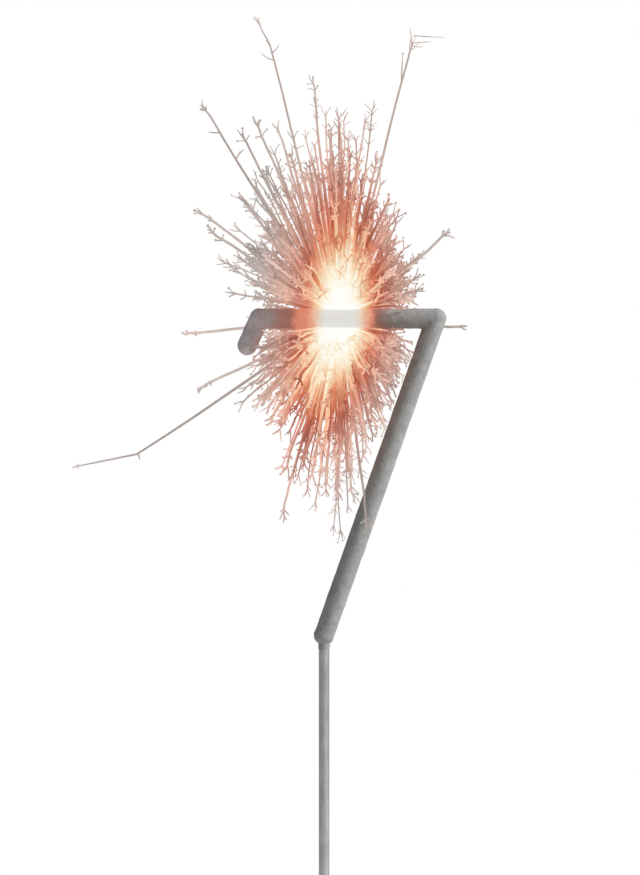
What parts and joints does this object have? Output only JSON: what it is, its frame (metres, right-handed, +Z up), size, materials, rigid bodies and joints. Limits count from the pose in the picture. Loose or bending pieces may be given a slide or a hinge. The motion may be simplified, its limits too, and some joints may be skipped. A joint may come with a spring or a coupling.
{
  "type": "number sparkler",
  "caption": "Lit number sparkler: a bent steel wire with a cake stem, a dipped grey coating, and a burning front that throws branching sparks.",
  "frame": {"origin": "centre of the stem's cut lower end", "axes": "+Z up along the stem, +X to the right when the numeral is read, +Y away from the reader"},
  "size_m": [0.082, 0.0357, 0.2308],
  "materials": {
    "wire": "drawn, dull",
    "first_dip": "thin, dull",
    "coating": "matte, fine-grained",
    "front": "molten, glowing",
    "slag": "rough, porous crust",
    "white_hot": "glowing",
    "orange_hot": "glowing",
    "red_hot": "glowing",
    "cooling": "dull, cooling"
  },
  "bodies": {
    "root": {"wire_core": "wire", "first_dip": "first_dip", "fresh_coating": "coating", "burning_front": "front", "spent_slag": "slag", "flare": "white_hot", "inner_sparks": "orange_hot", "outer_sparks": "red_hot", "long_sparks": "cooling"}
  },
  "joints": []
}
